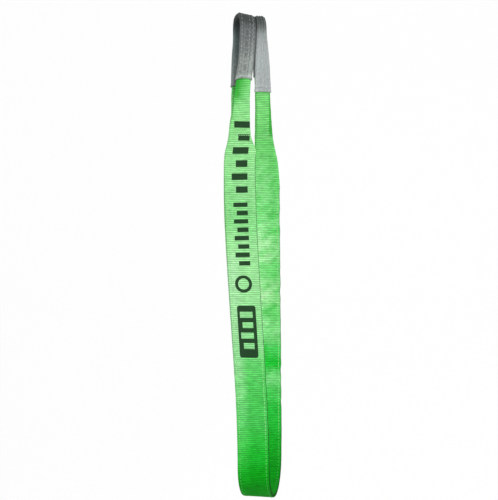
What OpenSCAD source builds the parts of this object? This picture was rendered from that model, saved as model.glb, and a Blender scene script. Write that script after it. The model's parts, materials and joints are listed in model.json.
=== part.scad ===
// Flat web sling: two plies of webbing sewn face to face, with a soft eye at each end
// and a wear sleeve on each eye, lying as a basket: both eyes side by side on one hook
// bar, the legs hanging down and the bight under a round load.
// The origin is the middle of the hook bar's axis. X runs along the load's axis, the
// front leg hangs on the -Y side, the rear leg on the +Y side, and Z is up.

/* [Webbing] */
// Width of the flat webbing
web_w = 60; // [50:1:75]
// Thickness of one ply of webbing
ply_t = 3.2; // [2.4:0.1:4]
// Gap between the two plies, and between stretches of one ply
ply_gap = 0.3; // [0.2:0.05:0.5]

/* [Basket] */
// Height from the load's axis up to the hook bar's axis
drop = 844; // [600:1:1500]
// Diameter of the load that lies in the bight
load_d = 120; // [90:1:160]
// Sideways place of the front leg's top, from the middle of the load seat
front_leg_x = -24; // [-30:1:0]
// Sideways place of the rear leg's top
rear_leg_x = 10; // [0:1:20]

/* [Eyes] */
// Diameter of the hook bar that the eyes lie on
hook_d = 36; // [24:1:44]
// Length of each eye, from the hook bar's axis to the throat
eye_len = 200; // [180:1:260]
// Width of the webbing at the throat, where its fold starts to open
throat_w = 40; // [36:1:48]
// Turn of the hook bar from the load's axis, seen from above
eye_yaw = 26; // [0:1:40]
// Sideways lean of the front eye down to its throat
front_drift = 10.5; // [0:0.5:14]
// Length of the cross-stitched stretch below each throat
stitch_run = 14; // [12:1:24]
// Length over which the front fold opens, below the cross stitching
front_open_run = 50; // [40:1:90]
// Length over which the rear fold opens, more slowly
rear_open_run = 96; // [40:1:110]

/* [Sleeves] */
// Wall of the wear sleeve
sleeve_t = 1.2; // [0.8:0.1:2]
// Gap between the webbing and the sleeve round it
sleeve_gap = 0.3; // [0.2:0.05:0.6]
// Length of each sleeve, along the eye and over the hook bar
sleeve_len = 280; // [220:1:300]
// How far the front eye's sleeve reaches down its front strap
front_sleeve_reach = 96; // [80:1:120]
// How far the rear eye's sleeve reaches down its front strap
rear_sleeve_reach = 119; // [90:1:130]
// Gap between the two sleeves, side by side on the hook bar
eye_gap = 0.6; // [0.4:0.1:4]

/* [Stitching] */
// Width of a line of thread
thread_w = 1.2; // [0.8:0.1:2]
// Height that a line of thread stands proud
thread_h = 0.5; // [0.3:0.1:0.8]
// Distance from the webbing's edge to the edge seam
seam_inset = 5; // [3:0.5:9]
// Distance from the sleeve's middle to its sewn seam
sleeve_seam_x = 10; // [4:0.5:12]
// Rows of cross stitching at each throat
stitch_rows = 3; // [2:1:3]
// Distance between rows of cross stitching
stitch_pitch = 3.5; // [2.5:0.5:4]

/* [Flex] */
// How far each leg swings towards the front at its throat, in degrees
swing_front = 45; // [20:1:60]
// How far the front leg swings towards the rear at its throat, in degrees
swing_rear = 15; // [5:1:45]

/* [Hidden] */
$fn = 96;
FRONT = -1;
REAR = 1;
OUTER = 1;
INNER = -1;
bight_count = 5;                          // hinged stretches between the two legs
far = 400;                                // longer than any half of an eye
steps = 12;                               // straight pieces in a curved edge
strap_lap = 0.5;                          // a strap's run into the arch above it
strap_seat = 0.02;                        // from the arch's faces in to the strap's

web_green = [0.36, 0.80, 0.36];
bight_green = [0.13, 0.62, 0.18];
sleeve_grey = [0.50, 0.53, 0.53];
thread_green = [0.62, 0.92, 0.60];
thread_grey = [0.72, 0.75, 0.75];

// Webbing of the body, from the load outwards
load_r = load_d / 2;
inner_top = load_r + ply_t;
outer_low = inner_top + ply_gap;
outer_top = outer_low + ply_t;
body_mid_r = (load_r + outer_top) / 2;

// Webbing of an eye: folded in two lengthwise, so half as wide and twice as thick
fold_w = web_w / 2;
fold_t = 2 * ply_t;
hook_r = hook_d / 2;
strap_in_r = hook_r + sleeve_t + sleeve_gap;
strap_out_r = strap_in_r + fold_t;
strap_mid_r = strap_in_r + fold_t / 2;
sleeve_out_r = strap_out_r + sleeve_gap + sleeve_t;
sleeve_w = fold_w + 2 * (sleeve_gap + sleeve_t);
eye_half_pitch = (sleeve_w + eye_gap) / 2;
strap_y = ply_gap / 2 + fold_t / 2;       // middle of a strap at the throat
strap_face = ply_gap / 2 + fold_t;        // outer face of a strap at the throat

// Angle of a line that passes at y and len below the centre of a circle, and touches it
function touch(y, len, r) = asin(r / norm([y, len])) - atan(y / len);
strap_lean = touch(strap_y, eye_len, strap_mid_r);
sleeve_arch = strap_mid_r * (180 + 2 * strap_lean) * PI / 180;

function ease(t) = t <= 0 ? 0 : t >= 1 ? 1 : t * t * (3 - 2 * t);
function rot_x(p, a) = [p.x, p.y * cos(a) - p.z * sin(a), p.y * sin(a) + p.z * cos(a)];
function rot_z(p, a) = [p.x * cos(a) - p.y * sin(a), p.x * sin(a) + p.y * cos(a), p.z];

// Place of each eye on the hook bar, and its lean within its own plane, which puts the
// throat on the straight line from the bar to the load
function drift(s) = s == FRONT ? -front_drift : 0;
function eye_seat(s) = rot_z([s * eye_half_pitch, 0, 0], eye_yaw);
function seat_y(s) = abs(eye_seat(s).y);
function straight_lean(s) = touch(seat_y(s), drop, body_mid_r);
function eye_lean(s) =
    asin((s * sin(straight_lean(s)) - drift(s) * sin(eye_yaw) / eye_len) / cos(eye_yaw));
function eye_to_part(p, s) = eye_seat(s) + rot_z(rot_x(p, eye_lean(s)), eye_yaw);
function throat(s) = eye_to_part([drift(s), 0, -eye_len], s);

// Each leg is a flat band on the line from its throat that touches the load
function leg_lean(s) = touch(abs(throat(s).y), throat(s).z + drop, body_mid_r);
function leg_to_part(p, s) = [0, 0, -drop] + rot_x(p, s * leg_lean(s));
function leg_len(s) =
    sqrt(pow(norm([throat(s).y, throat(s).z + drop]), 2) - pow(body_mid_r, 2));
function open_run(s) = s == FRONT ? front_open_run : rear_open_run;
function flat_len(s) = leg_len(s) - stitch_run - open_run(s);
function leg_top_x(s) = s == FRONT ? front_leg_x : rear_leg_x;
function leg_x(t, s) = leg_top_x(s) * ease(t);

// The bight: places on it are angles round the load's axis, 0 at the front, 90 at the
// bottom and 180 at the rear. Half a stretch at each end belongs to the leg.
bight_from = -leg_lean(FRONT);
bight_to = 180 + leg_lean(REAR);
stretch = (bight_to - bight_from) / (bight_count + 1);
half_gap = ply_gap / 2 / body_mid_r * 180 / PI;
function hinge_angle(i) = bight_from + (i - 0.5) * stretch;

// Wedges cut at the throat, so that eye and leg clear each other as they bend
relief_margin = 1;
function relief(s, side) =
    relief_margin + (s == FRONT && side == REAR ? swing_rear : swing_front) / 2;

// ---- eyes, drawn with the hook bar along X at the origin and the throat below ----

module in_eye(s) {
    translate(eye_seat(s)) rotate([eye_lean(s), 0, eye_yaw]) children();
}

// Point on a strap at radius r over the bar and run mm below the end of its arch
function strap_point(side, r, run) =
    [side * (r * cos(strap_lean) - run * sin(strap_lean)),
     -r * sin(strap_lean) - run * cos(strap_lean)];

// Corner of a strap's end at the throat, at radius r over the bar, cut by its relief
function throat_cut(s, side, r) =
    let (rise = tan(relief(s, side)),
         run = (eye_len - ply_gap / 2 - r * (sin(strap_lean) + rise * cos(strap_lean)))
               / (cos(strap_lean) - rise * sin(strap_lean)))
    strap_point(side, r, run);

// Arch over the bar, between two radii, far wider than an eye
module arch(r_in, r_out) {
    rotate([90, 0, 90]) rotate([0, 0, -strap_lean])
        rotate_extrude(angle = 180 + 2 * strap_lean)
            translate([r_in, -far / 2]) square([r_out - r_in, far]);
}

// Strap between two radii, down to its corners at the low end, [at r_out, at r_in]. Its
// top laps into the arch, and its faces lie a hair inside the arch's own.
module strap(side, r_in, r_out, end) {
    rotate([90, 0, 90]) linear_extrude(far, center = true)
        polygon([strap_point(side, r_out - strap_seat, -strap_lap), end[0], end[1],
                 strap_point(side, r_in + strap_seat, -strap_lap)]);
}

// Front outline of an eye: it drifts sideways, and widens towards the throat
module front_outline(s, top_w, low_w) {
    flare_from = sleeve_len / 2;
    function half_w(z) =
        top_w / 2 + (low_w - top_w) / 2 * ease((-z - flare_from) / (eye_len - flare_from));
    zs = [for (i = [0:2 * steps]) -(eye_len + ply_gap) * i / (2 * steps)];
    right = [for (z = zs) [drift(s) * ease(-z / eye_len) + half_w(z), z]];
    left = [for (z = zs) [drift(s) * ease(-z / eye_len) - half_w(z), z]];
    rotate([90, 0, 0]) linear_extrude(far, center = true)
        polygon(concat([[-top_w / 2, far], [top_w / 2, far]], right,
                       [for (i = [2 * steps:-1:0]) left[i]]));
}

module eye_webbing(s) {
    module outline() {
        front_outline(s, fold_w, throat_w);
    }
    color(web_green) in_eye(s) {
        intersection() {
            arch(strap_in_r, strap_out_r);
            outline();
        }
        for (side = [FRONT, REAR]) intersection() {
            strap(side, strap_in_r, strap_out_r,
                  [throat_cut(s, side, strap_out_r - strap_seat),
                   throat_cut(s, side, strap_in_r + strap_seat)]);
            outline();
        }
    }
}

// How far a sleeve reaches down the strap on one side
function sleeve_reach(s, side) =
    let (front = s == FRONT ? front_sleeve_reach : rear_sleeve_reach)
    side == FRONT ? front : sleeve_len - sleeve_arch - front;

// Length of a sleeve down one strap, between two radii, and on by some extra
module sleeve_strap(s, side, r_in, r_out, extra = 0) {
    run = sleeve_reach(s, side) + extra;
    strap(side, r_in, r_out, [strap_point(side, r_out - strap_seat, run),
                              strap_point(side, r_in + strap_seat, run)]);
}

module eye_sleeve(s) {
    overrun = 1;
    wall = sleeve_t - strap_seat;
    module outline(inset) {
        front_outline(s, sleeve_w - 2 * inset, sleeve_w - 2 * inset);
    }
    color(sleeve_grey) in_eye(s) {
        difference() {
            intersection() {
                arch(hook_r, sleeve_out_r);
                outline(0);
            }
            intersection() {
                rotate([90, 0, 90]) difference() {
                    cylinder(h = far, r = sleeve_out_r - sleeve_t, center = true);
                    cylinder(h = 2 * far, r = hook_r + sleeve_t, center = true);
                }
                outline(sleeve_t);
            }
        }
        for (side = [FRONT, REAR]) difference() {
            intersection() {
                sleeve_strap(s, side, hook_r, sleeve_out_r);
                outline(0);
            }
            intersection() {
                sleeve_strap(s, side, hook_r + wall, sleeve_out_r - wall, overrun);
                outline(sleeve_t);
            }
        }
    }
}

module sleeve_seam(s) {
    end_inset = 3;
    r_out = sleeve_out_r + thread_h;
    color(thread_grey) in_eye(s) translate([sleeve_seam_x, 0, 0]) {
        intersection() {
            arch(sleeve_out_r, r_out);
            front_outline(s, thread_w, thread_w);
        }
        for (side = [FRONT, REAR]) intersection() {
            sleeve_strap(s, side, sleeve_out_r, r_out, -end_inset);
            front_outline(s, thread_w, thread_w);
        }
    }
}

// ---- throats: the plies come together, still folded, and are sewn across ----

module throat_stitching(s) {
    end_inset = 4;
    row_w = throat_w - 2 * end_inset;
    first = eye_len + strap_face * tan(relief(s, FRONT)) + thread_w;
    color(thread_green) in_eye(s)
        for (side = [FRONT, REAR], i = [0:stitch_rows - 1])
            translate([drift(s), side * (strap_face + thread_h / 2),
                       -first - i * stitch_pitch - thread_w / 2])
                cube([row_w, thread_h, thread_w], center = true);
}

// ---- legs, drawn in each leg's own lean round the load's axis ----

module in_leg(s) {
    translate([0, 0, -drop]) rotate([s * leg_lean(s), 0, 0]) children();
}

// Line of thread down a leg between two distances from the load's axis, off to one side
// by x, following the leg's curve from z_low up to z_high
module leg_thread(s, r_in, r_out, x, z_low, z_high) {
    near = r_in + strap_seat;
    w = thread_w - 2 * strap_seat;
    zs = [for (i = [0:steps]) z_low + (z_high - z_low) * i / steps];
    left = [for (z = zs) [leg_x(z / flat_len(s), s) + x - w / 2, z]];
    right = [for (i = [steps:-1:0]) [left[i].x + w, left[i].y]];
    translate([0, s == FRONT ? -near : r_out - strap_seat, 0])
        rotate([90, 0, 0]) linear_extrude(r_out - strap_seat - near)
            polygon(concat(left, right));
}

// Band round the load's axis between two radii and two angles, off to one side by x
module load_arc(r_in, r_out, w, from, to, x = 0) {
    translate([x, 0, -drop]) rotate([-90, 0, -90]) rotate([0, 0, from])
        rotate_extrude(angle = to - from)
            translate([r_in, -w / 2]) square([r_out - r_in, w]);
}

// The half stretch of bight that belongs to a leg
module leg_arc(s, r_in, r_out, w, x = 0) {
    if (s == FRONT)
        load_arc(r_in, r_out, w, bight_from, hinge_angle(1) - half_gap, x);
    else
        load_arc(r_in, r_out, w, hinge_angle(bight_count + 1) + half_gap, bight_to, x);
}

// Corners of a folded ply's cross section in the eye's frame, fall mm below the throat.
// The first two lie against the other ply, and the outer two are lowered by a relief.
function fold_section(s, ply, fall, cut = 0) =
    let (side = s * ply, x = throat_w / 2, near = ply_gap / 2)
    [for (c = [[-x, near], [x, near], [x, strap_face], [-x, strap_face]])
        eye_to_part([drift(s) + c.x, side * c.y, -eye_len - fall - c.y * cut], s)];

// The same corners of a flat ply, at a share t of the way from the load up to its top,
// a hair inside the faces of its arc
function flat_section(s, ply, t) =
    let (near = (ply == OUTER ? outer_low : inner_top) + ply * strap_seat,
         back = (ply == OUTER ? outer_top : load_r) - ply * strap_seat,
         x = web_w / 2 - strap_seat)
    [for (c = [[-x, near], [x, near], [x, back], [-x, back]])
        leg_to_part([leg_x(t, s) + c.x, s * c.y, flat_len(s) * t], s)];

// Where the fold opens, a section passes from the folded corners to the flat ones
function opening_section(upper, lower, t) =
    [for (c = [0:3])
        let (w = ease(t), p = upper[c], q = lower[c])
        [p.x + (q.x - p.x) * w, p.y + (q.y - p.y) * w, p.z + (q.z - p.z) * t]];

// One ply of a leg: cut to its relief at the throat, folded where it is sewn across,
// opening to its full width, and then flat down to the load, where it laps into its arc
module leg_loft(s, ply) {
    opening_steps = 8;
    upper = fold_section(s, ply, stitch_run);
    lower = flat_section(s, ply, 1);
    sections = concat(
        [fold_section(s, ply, ply_gap / 2, tan(relief(s, s * ply)))],
        [for (k = [0:opening_steps]) opening_section(upper, lower, k / opening_steps)],
        [for (k = [steps - 1:-1:1]) flat_section(s, ply, k / steps)],
        [flat_section(s, ply, -strap_lap / flat_len(s))]);
    last = 4 * (len(sections) - 1);
    walls = [for (k = [0:4:last - 4], c = [0:3])
        let (a = k + c, b = k + (c + 1) % 4)
        each [[a, a + 4, b + 4], [a, b + 4, b]]];
    faces = concat([[0, 1, 2, 3]], walls, [[last + 3, last + 2, last + 1, last]]);
    turned = [for (f = faces) [for (i = [len(f) - 1:-1:0]) f[i]]];
    polyhedron([for (ring = sections) each ring], s * ply < 0 ? faces : turned);
}

module leg_ply(s, ply) {
    r_in = ply == OUTER ? outer_low : load_r;
    color(web_green) {
        leg_loft(s, ply);
        leg_arc(s, r_in, r_in + ply_t, web_w);
    }
}

// The inner threads start above the place where a load of full size touches the leg
module leg_seams(s) {
    end_gap = 6;
    top = flat_len(s) - end_gap;
    thread_r = load_r - thread_h;
    inner_from = sqrt(pow(load_r + ply_gap, 2) - pow(thread_r, 2));
    color(thread_green) for (side = [-1, 1]) {
        x = side * (web_w / 2 - seam_inset);
        in_leg(s) {
            leg_thread(s, outer_top, outer_top + thread_h, x, -strap_lap, top);
            leg_thread(s, thread_r, load_r, x, inner_from, top);
        }
        leg_arc(s, outer_top, outer_top + thread_h, thread_w, x);
    }
}

// ---- bight: stretch i lies between hinges i and i + 1 ----

module bight_ply(i, ply) {
    r_in = ply == OUTER ? outer_low : load_r;
    color(bight_green)
        load_arc(r_in, r_in + ply_t, web_w,
                 hinge_angle(i) + half_gap, hinge_angle(i + 1) - half_gap);
}

module bight_seams(i) {
    color(thread_green) for (side = [-1, 1])
        load_arc(outer_top, outer_top + thread_h, thread_w,
                 hinge_angle(i) + half_gap, hinge_angle(i + 1) - half_gap,
                 side * (web_w / 2 - seam_inset));
}

eye_webbing(FRONT);  // front_eye_webbing
eye_sleeve(FRONT);  // front_eye_sleeve
sleeve_seam(FRONT);  // front_sleeve_seam
throat_stitching(FRONT);  // front_throat_stitching
leg_ply(FRONT, OUTER);  // front_leg_outer_ply
leg_ply(FRONT, INNER);  // front_leg_inner_ply
leg_seams(FRONT);  // front_leg_seams
for (i = [1:bight_count]) {
    bight_ply(i, OUTER);
    bight_ply(i, INNER);
    bight_seams(i);
}
leg_ply(REAR, OUTER);  // rear_leg_outer_ply
leg_ply(REAR, INNER);  // rear_leg_inner_ply
leg_seams(REAR);  // rear_leg_seams
throat_stitching(REAR);  // rear_throat_stitching
eye_webbing(REAR);  // rear_eye_webbing
eye_sleeve(REAR);  // rear_eye_sleeve
sleeve_seam(REAR);  // rear_sleeve_seam
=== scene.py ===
import json

import bpy
import numpy as np
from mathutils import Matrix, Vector


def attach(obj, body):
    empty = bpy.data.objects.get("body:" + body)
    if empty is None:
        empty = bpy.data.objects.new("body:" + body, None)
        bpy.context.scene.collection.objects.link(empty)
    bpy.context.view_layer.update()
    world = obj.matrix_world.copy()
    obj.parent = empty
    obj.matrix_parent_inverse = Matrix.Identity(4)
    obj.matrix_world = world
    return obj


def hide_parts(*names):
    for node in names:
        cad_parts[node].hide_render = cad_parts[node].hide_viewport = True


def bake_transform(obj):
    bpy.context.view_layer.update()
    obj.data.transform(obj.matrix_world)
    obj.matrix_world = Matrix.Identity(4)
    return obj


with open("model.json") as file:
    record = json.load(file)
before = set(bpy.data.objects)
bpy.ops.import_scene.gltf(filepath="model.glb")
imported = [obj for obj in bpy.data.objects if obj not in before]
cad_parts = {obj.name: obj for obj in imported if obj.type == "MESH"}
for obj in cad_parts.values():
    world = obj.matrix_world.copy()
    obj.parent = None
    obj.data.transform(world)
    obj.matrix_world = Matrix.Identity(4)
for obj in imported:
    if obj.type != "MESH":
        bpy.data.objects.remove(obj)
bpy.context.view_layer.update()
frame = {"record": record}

record = frame["record"]


# ---- Camera ----
# A standing person's eye, level with the middle of the hanging sling and a little to
# the right of the basket's own plane. The lens is a normal one, and the camera is
# rolled by about a degree, so that the sling leans a little to the right.
def place(name, data):
    """A new object in the scene."""
    thing = bpy.data.objects.new(name, data)
    bpy.context.scene.collection.objects.link(thing)
    return thing


azimuth, distance, eye_height, roll = np.radians(12.7), 1.352, -0.4305, np.radians(1.13)
aside = -0.0143                      # of the camera, from the line through the sling's middle
camera = place("camera", bpy.data.cameras.new("camera"))
bpy.context.scene.camera = camera
camera.data.sensor_fit = "VERTICAL"
camera.data.sensor_height = 36
camera.data.lens = 49.6
camera.data.clip_end = 50
camera.location = (distance * np.sin(azimuth) + aside * np.cos(azimuth),
                   -distance * np.cos(azimuth) + aside * np.sin(azimuth), eye_height)
camera.rotation_euler = (np.pi / 2, roll, azimuth)
bpy.context.scene.view_settings.view_transform = "Standard"


# ---- Studio ----
# A pale floor below even the straightened sling, with a wall that curves up out of it. Large
# soft lamps stand at the front right, at the left and behind, and the world fills the
# shadows. The camera sees the backdrop as white, with only a faint shadow left on it.
def add_node(tree, kind, inputs=None, **settings):
    """A new shader node with its settings and inputs."""
    node = tree.nodes.new("ShaderNode" + kind)
    for label, value in settings.items():
        setattr(node, label, value)
    return feed(node, inputs or {})


def feed(node, inputs):
    """The node, with each input set to its value, or linked from an output or a Field."""
    for label, value in inputs.items():
        value = getattr(value, "socket", value)
        if isinstance(value, bpy.types.NodeSocket):
            node.id_data.links.new(value, node.inputs[label])
        else:
            node.inputs[label].default_value = value
    return node


def show_white(tree, plain, white, surface, evenness):
    """The shader plain, turned to white for the camera and for gloss by the share evenness."""
    ray = add_node(tree, "LightPath").outputs
    seen = add_node(tree, "Math", {0: ray["Is Camera Ray"], 1: ray["Is Glossy Ray"]},
                    operation="MAXIMUM")
    share = add_node(tree, "Math", {0: seen.outputs[0], 1: evenness}, operation="MULTIPLY")
    mix = add_node(tree, "MixShader", {0: share.outputs[0], 1: plain.outputs[0], 2: white.outputs[0]})
    feed(surface, {"Surface": mix.outputs[0]})


def sweep_floor(reach, height, radius, half_width, low, steps=24):
    """A floor along Y that turns up into a wall through a quarter circle."""
    bend = np.linspace(0, np.pi / 2, steps)
    y = np.concatenate([[-reach], reach - radius + radius * np.sin(bend), [reach]])
    z = np.concatenate([[0], radius - radius * np.cos(bend), [height]]) + low
    right = np.stack([np.full_like(y, half_width), y, z], 1)
    n = len(y)
    quads = [(i, n + i, n + i + 1, i + 1) for i in range(n - 1)]
    mesh = bpy.data.meshes.new("backdrop")
    mesh.from_pydata(np.concatenate([right * [-1, 1, 1], right]).tolist(), [], quads)
    return place("backdrop", mesh)


backdrop = sweep_floor(reach=4.0, height=5.6, radius=1.2, half_width=6.0, low=-2.05)
backdrop_white = bpy.data.materials.new("backdrop_white")
backdrop_white.use_nodes = True
tree = backdrop_white.node_tree
tree.nodes.remove(tree.nodes["Principled BSDF"])
plain = add_node(tree, "BsdfDiffuse", {"Color": (0.86, 0.86, 0.86, 1)})
white = add_node(tree, "Emission", {"Strength": 1.04})
show_white(tree, plain, white, tree.nodes["Material Output"], 0.85)
backdrop.data.materials.append(backdrop_white)

world = bpy.data.worlds.new("studio")
bpy.context.scene.world = world
world.use_nodes = True
tree = world.node_tree
fill = feed(tree.nodes["Background"], {"Color": (1, 1, 1, 1), "Strength": 0.70})
beyond = add_node(tree, "Background", {"Color": (1, 1, 1, 1), "Strength": 1.0})
show_white(tree, fill, beyond, tree.nodes["World Output"], 1.0)

LAMP_AIM = Vector((0, 0, -0.4))
for name, spot, size, power in (("front_right", (1.7, -2.4, 0.5), 1.6, 52),
                                ("left", (-2.3, -1.6, 0.3), 1.4, 14),
                                ("behind", (-0.6, 2.3, 1.0), 1.4, 22)):
    lamp = bpy.data.lights.new("lamp_" + name, "AREA")
    lamp.shape, lamp.size, lamp.energy = "SQUARE", size, power
    holder = place("lamp_" + name, lamp)
    holder.location = spot
    holder.rotation_euler = (LAMP_AIM - Vector(spot)).to_track_quat("-Z", "Y").to_euler()


# ---- Legs and bight ----
# One endless band of green polyester webbing, 60 mm wide and woven with cross ribs. Two
# plies of it hang from the front throat, pass under the load and rise to the rear throat.
# They are cut in the middle of each stiff stretch, so that each piece spans one hinge.
WEB_W, WEB_T = 0.060, 0.0030
RIB, RIB_H = 0.0035, 0.00035         # pitch and height of the cross ribs
ROWS_PER_RIB = 4
EVEN_TO = 0.0275                     # from the middle, where the evenly spaced columns end
EDGE_LINES = np.array([0.0288, 0.0296, 0.0300])   # and the places of those beside them
EDGE_BULGE = 0.010                   # share by which a rib pushes an edge out
EDGE_FROM, EDGE_R = 0.0284, 0.00172  # where an edge starts to round off, and over what
FOLD_R = 0.00155                     # of the webbing's middle, where it is folded in
# Places down from the throat:
LOOP_FOOT, LOOP_FOOT_RIB = 0.120, 34  # where a leg's own piece begins, and the number of its rib
DRIFT_FROM = 0.064                   # where a leg starts to drift sideways
OPEN_FROM, OPEN_IN = 0.004, 0.060    # where the eye's frame turns into the leg's, and over what
UNTWIST = (0.070, 0.440)             # where each half of the eye's twist is gone
FLAT_FROM, FLAT_IN = {-1: 0.030, 1: 0.065}, 0.050   # where two plies close up, and over what
PLY_STEP, FOLDED_STEP = 0.00175, 0.00505   # from between the plies to a flat one, a folded one
EYE_STEP, EYE_W = 0.0168, 0.033      # from the hook bar's middle to an eye's, and its width
EYE_LIFT, LIFT_IN = 0.0054, 0.09     # of the front eye's left edge, and the height it takes
PLEAT, PLEAT_H = 0.0082, 0.0009      # pitch and height of the rear eye's lengthwise folds
LEG_TOP_X = {-1: -0.024, 1: 0.0115}      # of a leg's middle near its throat
INNER_ASIDE = {-1: -0.0024, 1: 0.0012}   # how far the inner ply shows beside the outer one
joints = {j["name"]: j for j in record["behaviour"]["joints"]}
mounts = {m["name"]: m for m in record["mounts"]}
bar = np.array(mounts["hook_seat"]["axis"], float)
bar_yaw = np.arctan2(bar[1], bar[0])
drop = -mounts["load_seat"]["pos_m"][2]
between_r = mounts["load_seat"]["dims"]["r_mm"] / 1000 + 0.00335   # between the two plies
throat = {-1: np.array(joints["front_leg_swing"]["pos_m"]),
          1: np.array(joints["rear_eye_swing"]["pos_m"])}
side_name = {-1: "front", 1: "rear"}
ply_name = {-1: "inner", 1: "outer"}


def ease(t):
    """0 below 0, 1 above 1, and 3t^2 - 2t^3 between."""
    t = np.clip(t, 0, 1)
    return t * t * (3 - 2 * t)


def smooth_through(knots, x):
    """A curve through (x, y) knots, level outside the first and the last: cubic Hermite, whose
    slope at a knot is the harmonic mean of its two sides', or 0 at a turning point."""
    kx, ky = np.array(knots, float).T
    rise = np.diff(ky) / np.diff(kx)
    same = rise[:-1] * rise[1:] > 0
    slope = np.zeros_like(kx)
    slope[1:-1] = np.where(same, 2 * rise[:-1] * rise[1:] / np.where(same, rise[:-1] + rise[1:], 1), 0)
    i = np.clip(np.searchsorted(kx, x) - 1, 0, len(kx) - 2)
    h = kx[i + 1] - kx[i]
    t = np.clip((x - kx[i]) / h, 0, 1)
    return (ky[i] * (1 + 2 * t) * (1 - t) ** 2 + ky[i + 1] * t * t * (3 - 2 * t)
            + h * (slope[i] * t * (1 - t) ** 2 - slope[i + 1] * t * t * (1 - t)))


def turn(p, x=0, z=0):
    """Points turned about X by the angle x, then about Z by the angle z, right-handed."""
    right, back, up = p[..., 0], p[..., 1], p[..., 2]
    back, up = back * np.cos(x) - up * np.sin(x), back * np.sin(x) + up * np.cos(x)
    right, back = right * np.cos(z) - back * np.sin(z), right * np.sin(z) + back * np.cos(z)
    return np.stack([right, back, up], -1)


def touch(y, length, r):
    """Lean of a line that starts y beside and length below a circle's centre and touches it."""
    return np.arcsin(r / np.hypot(y, length)) - np.arctan(y / length)


def eye_frame(side):
    """(lean, drift, length) of an eye, from its place on the bar down to its throat."""
    hang = turn(throat[side] - side * EYE_STEP * bar, z=-bar_yaw)
    return np.arctan2(hang[1], -hang[2]), hang[0], np.hypot(hang[1], hang[2])


def from_eye(p, side):
    """Points drawn with the bar along X through the origin, put where that eye is."""
    return side * EYE_STEP * bar + turn(p, eye_frame(side)[0], bar_yaw)


# Where the used sling has settled away from its plain course, at heights in metres. In an
# eye, millimetres along the bar of the left and right edge: the front eye's two straps apart,
# the rear eye's together. In a leg, millimetres sideways, and the strength of its creases.
FRONT_STRAP = ([(-0.115, 0), (-0.088, 2.2), (-0.063, 4.2), (-0.02, 4.0), (0.02, 4.2)],
               [(-0.115, 0), (-0.063, 1.7), (-0.03, 2.4), (0.01, 3.3)])
BACK_STRAP = [(-0.190, 0), (-0.150, -1.2), (-0.105, -2.5), (-0.060, -2.6), (-0.012, -0.3), (0.01, 0)]
PINCHED = ([(-0.080, 0), (-0.050, 1.2), (-0.020, 2.6), (0.0, 3.3)],
           [(-0.124, 0), (-0.089, -2.4), (-0.069, -3.7), (-0.050, -5.5), (-0.026, -8.0),
            (-0.010, -9.6), (0.012, -10.5)])
REAR_ASIDE = [(-0.86, 0), (-0.78, 2.0), (-0.62, 2.2), (-0.56, 1.0), (-0.36, 0), (-0.31, 1.2),
              (-0.24, 4.4), (-0.20, 4.4), (-0.16, 2.6), (-0.115, 0)]
PINCH_MOST = 13.8                    # millimetres by which the rear eye's edges come together
CREASED = {-1: [(-0.86, 0), (-0.80, 0.5), (-0.66, 0.5), (-0.60, 0.12), (-0.30, 0.12), (-0.25, 0)],
           1: [(-0.84, 0), (-0.79, 0.8), (-0.60, 1.0), (-0.36, 1.0), (-0.31, 0.5), (-0.26, 0)]}


def creases(x, z):
    """Depth in metres of soft cross creases: three slanting sine waves, each bent by a slower
    one, stronger in some places than in others."""
    waves = (np.sin(z / 0.0061 + x / 0.019 + 1.3 * np.sin(z / 0.037))
             + 0.8 * np.sin(z / 0.0098 - x / 0.013 + 1.7 * np.sin(z / 0.053 + 2))
             + 0.5 * np.sin(z / 0.0036 + x / 0.009 + 0.9 * np.sin(z / 0.021 + 4)))
    return 0.00034 * waves * (0.6 + 0.4 * np.sin(z / 0.029 + x / 0.05))


def settled(p, side):
    """Points of one side's webbing, threads or sleeve, moved to where they have settled. In the
    eye's frame X runs along the bar. An edge's move grows evenly across the strap, the pinched
    eye is laid in lengthwise folds, and the front eye stands higher on its left."""
    z = p[..., 2]
    lean, drift, eye_len = eye_frame(side)
    q = turn(turn(p - side * EYE_STEP * bar, z=-bar_yaw), x=-lean)
    x = q[..., 0] - drift * ease(-q[..., 2] / eye_len)
    across = np.clip(0.5 + x / EYE_W, 0, 1)
    left, right = [smooth_through(k, z) for k in (FRONT_STRAP if side < 0 else PINCHED)]
    move = left + (right - left) * across
    lift = pleats = aside = 0
    if side < 0:
        front = ease(0.5 - q[..., 1] / 0.030)
        move = front * move + (1 - front) * smooth_through(BACK_STRAP, z)
        lift = EYE_LIFT * (1 - across) * ease(1 + z / LIFT_IN)
    else:
        pleats = PLEAT_H * ((left - right) / PINCH_MOST).clip(0, 1) * np.cos(2 * np.pi * x / PLEAT)
        aside = smooth_through(REAR_ASIDE, z) / 1000
    away = np.stack([0 * z, q[..., 1], q[..., 2].clip(0)], -1)
    away = away / np.linalg.norm(away, axis=-1, keepdims=True).clip(1e-6)
    q = q + away * np.asarray(pleats)[..., None]
    q[..., 0] += move / 1000
    q = from_eye(q, side)
    q[..., 2] += lift
    depth = creases(p[..., 0], z) * smooth_through(CREASED[side], z)
    q[..., 1] += depth
    q[..., 0] += aside + depth * np.clip(p[..., 0] / 0.03, 0, 1)
    return q


def leg_frame(side):
    """(lean, length) of a leg, from where it touches the load up to its throat."""
    y, up = abs(throat[side][1]), throat[side][2] + drop
    return touch(y, up, between_r), np.sqrt(y * y + up * up - between_r * between_r)


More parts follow.
